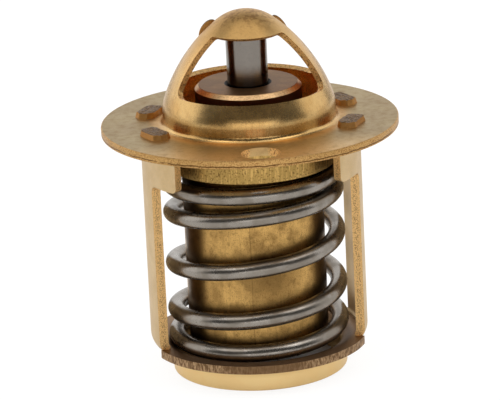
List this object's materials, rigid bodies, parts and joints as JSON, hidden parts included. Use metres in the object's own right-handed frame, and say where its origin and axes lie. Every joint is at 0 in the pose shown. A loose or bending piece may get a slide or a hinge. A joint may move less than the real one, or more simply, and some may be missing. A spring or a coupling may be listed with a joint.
{
  "type": "engine thermostat",
  "caption": "Wax-capsule engine thermostat: round brass flange with a domed bridge, coil spring and a two-legged frame; the capsule and valve slide down to open.",
  "frame": {"origin": "on the axis, at the flange's underside", "axes": "+Z along the axis towards the domed bridge, -Y towards the bleed hole in the flange, the frame's two legs at -X and +X"},
  "size_m": [0.054, 0.054, 0.0672],
  "materials": {
    "flange_brass": "drawn brass, tumbled, fine scratches",
    "frame_brass": "bead-blasted drawn brass with rough sheared edges",
    "capsule_brass": "drawn brass with vertical draw marks",
    "guide_copper": "turned, browned by heat",
    "valve_brass": "pressed brass, dark, with vertical marks",
    "spring_steel": "drawn spring wire",
    "pin_steel": "ground and polished",
    "rubber": "moulded rubber",
    "washer_plastic": "slippery plastic disc",
    "wax": "wax filled with copper powder"
  },
  "bodies": {
    "housing": {"flange_bridge": "flange_brass", "support_frame": "frame_brass", "piston_pin": "pin_steel", "return_spring": "spring_steel"},
    "valve": {"valve_plate": "valve_brass", "capsule_cup": "capsule_brass", "capsule_guide": "guide_copper", "chafe_washer": "washer_plastic", "rubber_plug": "rubber", "diaphragm": "rubber", "wax_charge": "wax"}
  },
  "joints": [
    {"name": "valve_lift", "type": "slide", "parent": "housing", "child": "valve", "axis": [0, 0, 1], "range_m": [-0.008, 0], "stiffness_N_per_m": 7000, "springref_m": 0.015, "deforming": ["return_spring"]}
  ]
}
